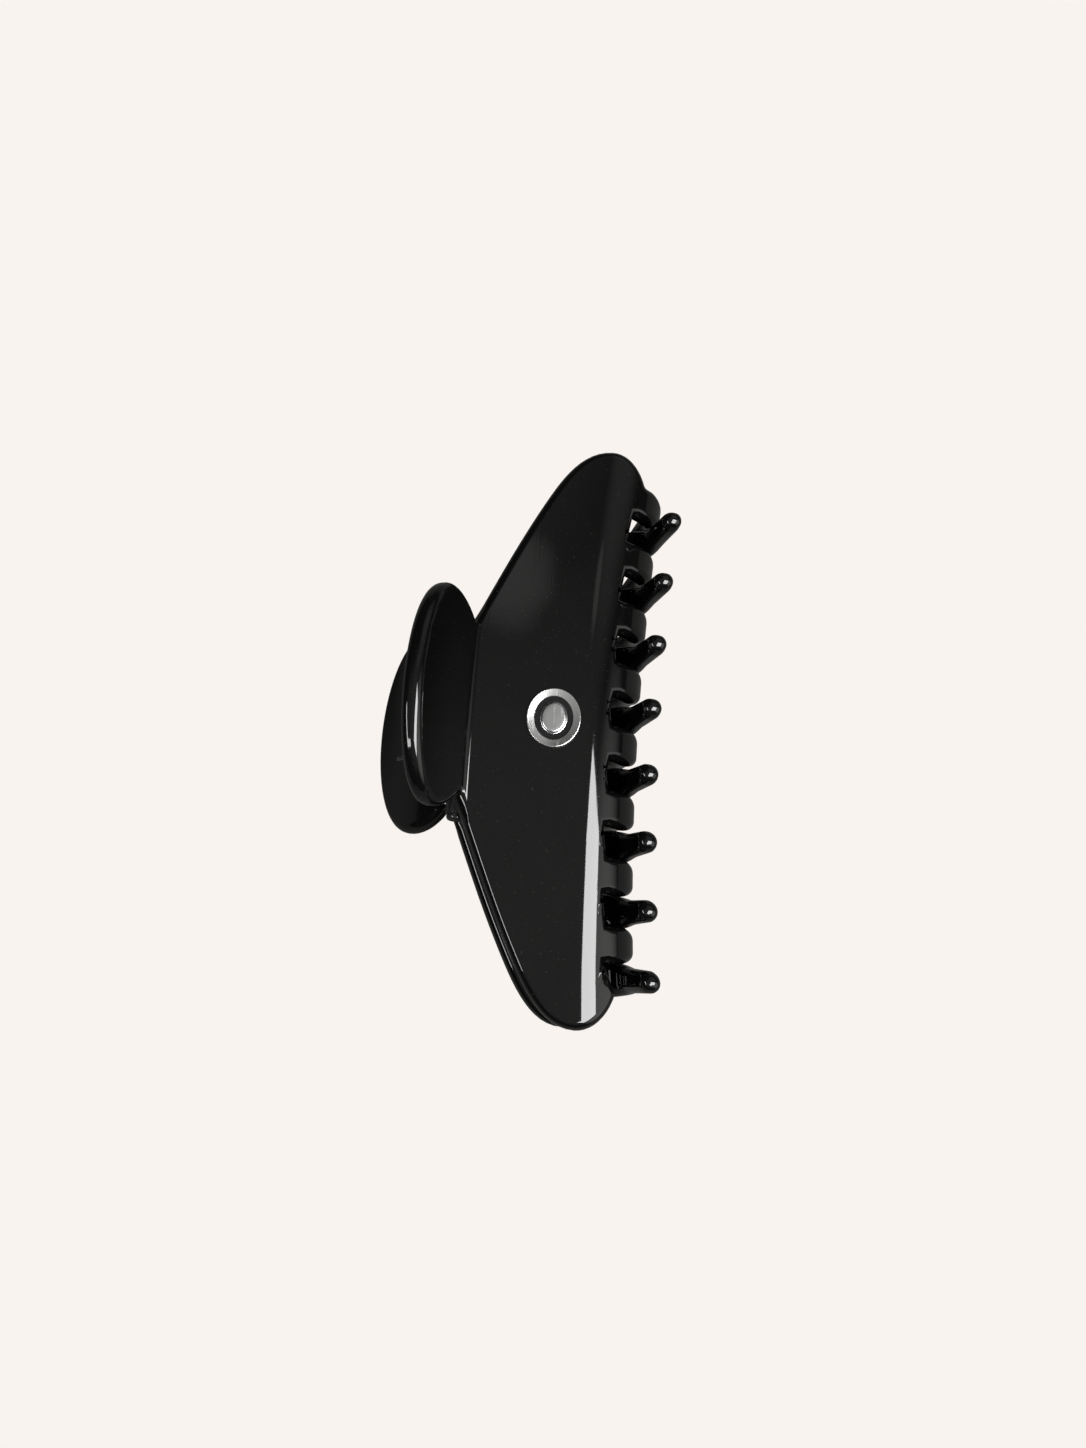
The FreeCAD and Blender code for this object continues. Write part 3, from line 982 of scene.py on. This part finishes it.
class CLAW_OT_hardware(bpy.types.Operator):
    """Finish the hinge leaves, screws and pin"""

    bl_idname = "claw.hardware"
    bl_label = "Hinge hardware"

    def execute(self, context):
        lacquer = finish(
            "black_lacquered_steel",
            (0.006, 0.006, 0.006),
            (0.018, 0.018, 0.017),
            tone_size=300.0,
            marks={"Roughness": 0.22, "Scratches": 0.18, "Dust": 0.15, "Scratch Size": 1600.0},
        )
        blackened = finish(
            "blackened_screw_steel",
            (0.05, 0.05, 0.05),
            (0.11, 0.11, 0.108),
            tone_size=700.0,
            marks={"Roughness": 0.3, "Scratches": 0.2, "Dust": 0.15, "Scratch Size": 3000.0},
            metallic=1.0,
        )
        turned = finish(
            "blackened_pin_steel",
            (0.04, 0.04, 0.04),
            (0.09, 0.09, 0.09),
            tone_size=500.0,
            marks={"Roughness": 0.2, "Scratches": 0.2, "Dust": 0.1, "Scratch Size": 2200.0},
            metallic=1.0,
        )
        for node, material in (
            ("front_hinge_leaf", lacquer),
            ("rear_hinge_leaf", lacquer),
            ("hinge_pin_cap", lacquer),
            ("front_leaf_screws", blackened),
            ("rear_leaf_screws", blackened),
            ("hinge_pin", turned),
        ):
            dress(frame["nodes"][node], material)
        return {"FINISHED"}


# Stage ----------------------------------------------------------------------

# Studio lights: name, place, aim, width and length in metres, and power in watts.
LAMPS = (
    ("right_strip", (0.273, -0.1375, 0.506), (0.015, -0.02, 0.02), 0.445, 0.23, 5.2),
    ("left_strip", (-0.34, -0.16, 0.36), (-0.01, -0.01, 0.03), 0.30, 0.07, 0.8),
)

# Soft glows of the room: towards, cosine where it fades out, cosine where it is full, brightness.
GLOWS = (
    ((0.05, -0.25, 0.97), 0.55, 1.0, 0.28),
    ((0.40, 0.70, 0.60), 0.85, 1.0, 0.30),
    ((0.13, 0.41, 0.90), 0.995, 1.0, 0.45),
    ((0.80, -0.25, 0.42), 0.80, 1.0, 1.5),
)

CAMERA_TILT = 12.01
CAMERA_YAW = 11.50
CAMERA_ROLL = 4.38
CAMERA_AIM = (14.10, 0.50, 0.0)
TABLE_SIZE = 4.0
TABLE_COLOUR = (0.10, 0.098, 0.096, 1.0)
TABLE_ROUGHNESS = 0.8
ROOM_TINT = (1.0, 0.985, 0.97, 1.0)
SENSOR_WIDTH = 36.0
NEAREST_SEEN = 0.01


def softbox(name, place, aim, width, length, power):
    """Rectangular studio light that points at a spot."""
    data = bpy.data.lights.new(name, "AREA")
    data.shape = "RECTANGLE"
    data.size = width
    data.size_y = length
    data.energy = power
    lamp = bpy.data.objects.new(name, data)
    bpy.context.scene.collection.objects.link(lamp)
    facing = (Vector(aim) - Vector(place)).to_track_quat("-Z", "Y").to_matrix().to_4x4()
    lamp.matrix_world = Matrix.Translation(place) @ facing


def room_brightness(tree, floor):
    """Brightness that depends on the direction: an even floor and a few soft glows."""
    place = add_node(tree, "ShaderNodeTexCoord", -1400, 0)
    total = None
    for number, (towards, faint, full, strength) in enumerate(GLOWS):
        row = -220 * number
        facing = add_node(tree, "ShaderNodeVectorMath", -1200, row, operation="DOT_PRODUCT")
        facing.inputs[1].default_value = Vector(towards).normalized()
        link(tree, place.outputs["Generated"], facing.inputs[0])
        ramp = add_node(tree, "ShaderNodeMapRange", -1000, row, interpolation_type="SMOOTHSTEP")
        ramp.inputs["From Min"].default_value = faint
        ramp.inputs["From Max"].default_value = full
        ramp.inputs["To Max"].default_value = strength
        link(tree, facing.outputs["Value"], ramp.inputs["Value"])
        add = add_node(tree, "ShaderNodeMath", -800, row, operation="ADD")
        add.inputs[1].default_value = floor
        if total is not None:
            link(tree, total, add.inputs[1])
        link(tree, ramp.outputs["Result"], add.inputs[0])
        total = add.outputs[0]
    return total


def shown_to_camera(tree, colour, other):
    """Emission that the camera sees, and another shader for every other ray."""
    path = add_node(tree, "ShaderNodeLightPath", -400, 300)
    mix = add_node(tree, "ShaderNodeMixShader", 200, 0)
    glow = add_node(tree, "ShaderNodeEmission", -100, -200)
    glow.inputs["Color"].default_value = (*colour, 1.0)
    link(tree, path.outputs["Is Camera Ray"], mix.inputs[0])
    link(tree, other, mix.inputs[1])
    link(tree, glow.outputs[0], mix.inputs[2])
    return mix


def camera_axes():
    """The camera's right, up and backward directions in the hinge's frame."""
    tilt, yaw, roll = (math.radians(angle) for angle in (CAMERA_TILT, CAMERA_YAW, CAMERA_ROLL))
    level = math.cos(tilt)
    back = Vector((-math.sin(yaw) * level, -math.sin(tilt), math.cos(yaw) * level))
    right = Vector((math.cos(yaw), 0, math.sin(yaw)))
    up = back.cross(right)
    turned_right = right * math.cos(roll) + up * math.sin(roll)
    turned_up = up * math.cos(roll) - right * math.sin(roll)
    return turned_right, turned_up, back


class CLAW_OT_stage(bpy.types.Operator):
    """Set out the table, the soft studio lights and the camera"""

    bl_idname = "claw.stage"
    bl_label = "Stage"

    def execute(self, context):
        settings = context.scene.claw.stage
        scene = context.scene
        scene.view_settings.view_transform = "Standard"
        deselect_all()
        bpy.ops.mesh.primitive_plane_add(size=TABLE_SIZE, location=(0, 0, 0))
        table = context.object
        table.name = "table_top"
        surface = bpy.data.materials.new("pale_table")
        surface.use_nodes = True
        tree = surface.node_tree
        shader = tree.nodes["Principled BSDF"]
        shader.inputs["Roughness"].default_value = TABLE_ROUGHNESS
        shader.inputs["Specular IOR Level"].default_value = 0.0
        shader.inputs["Base Color"].default_value = TABLE_COLOUR
        mix = shown_to_camera(tree, settings.backdrop, shader.outputs[0])
        link(tree, mix.outputs[0], tree.nodes["Material Output"].inputs["Surface"])
        dress(table, surface)
        world = bpy.data.worlds.new("studio")
        world.use_nodes = True
        scene.world = world
        tree = world.node_tree
        sky = tree.nodes["Background"]
        sky.inputs["Color"].default_value = ROOM_TINT
        link(tree, room_brightness(tree, settings.room), sky.inputs["Strength"])
        mix = shown_to_camera(tree, settings.backdrop, sky.outputs[0])
        link(tree, mix.outputs[0], tree.nodes["World Output"].inputs["Surface"])
        for name, place, aim, width, length, power in LAMPS:
            softbox(name, place, aim, width, length, power)
        data = bpy.data.cameras.new("camera")
        data.lens = settings.lens
        data.sensor_width = SENSOR_WIDTH
        data.sensor_fit = "AUTO"
        data.clip_start = NEAREST_SEEN
        camera = bpy.data.objects.new("camera", data)
        scene.collection.objects.link(camera)
        right, up, back = camera_axes()
        tilt = Matrix.Rotation(math.radians(REST_TILT), 3, "Y")
        axes = Matrix([tilt @ right, tilt @ up, tilt @ back]).transposed().to_4x4()
        aim = at_rest() @ Vector(CAMERA_AIM)
        stand = aim + (tilt @ back) * settings.distance
        camera.matrix_world = Matrix.Translation(stand) @ axes
        scene.camera = camera
        return {"FINISHED"}


class CLAW_PT_panel(bpy.types.Panel):
    """Buttons for each piece of the hair claw"""

    bl_idname = "CLAW_PT_panel"
    bl_label = "Hair claw"
    bl_space_type = "VIEW_3D"
    bl_region_type = "UI"
    bl_category = "Hair claw"

    def draw(self, context):
        settings = context.scene.claw
        for group, button in (
            (settings.stage, CLAW_OT_stage),
            (settings.jaws, CLAW_OT_jaws),
            (settings.emblem, CLAW_OT_emblem),
            (settings.hinge, CLAW_OT_spring),
        ):
            box = self.layout.box()
            for name in group.__annotations__:
                box.prop(group, name)
            box.operator(button.bl_idname)
        self.layout.operator(CLAW_OT_hardware.bl_idname)


CLASSES = (
    JawSettings,
    EmblemSettings,
    HingeSettings,
    StageSettings,
    ClawSettings,
    CLAW_OT_stage,
    CLAW_OT_jaws,
    CLAW_OT_emblem,
    CLAW_OT_spring,
    CLAW_OT_hardware,
    CLAW_PT_panel,
)


def register():
    for item in CLASSES:
        bpy.utils.register_class(item)
    bpy.types.Scene.claw = PointerProperty(type=ClawSettings)


def unregister():
    del bpy.types.Scene.claw
    for item in reversed(CLASSES):
        bpy.utils.unregister_class(item)


def main():
    register()
    bpy.ops.claw.stage()
    bpy.ops.claw.jaws()
    bpy.ops.claw.emblem()
    bpy.ops.claw.spring()
    bpy.ops.claw.hardware()


if __name__ == "__main__":
    main()
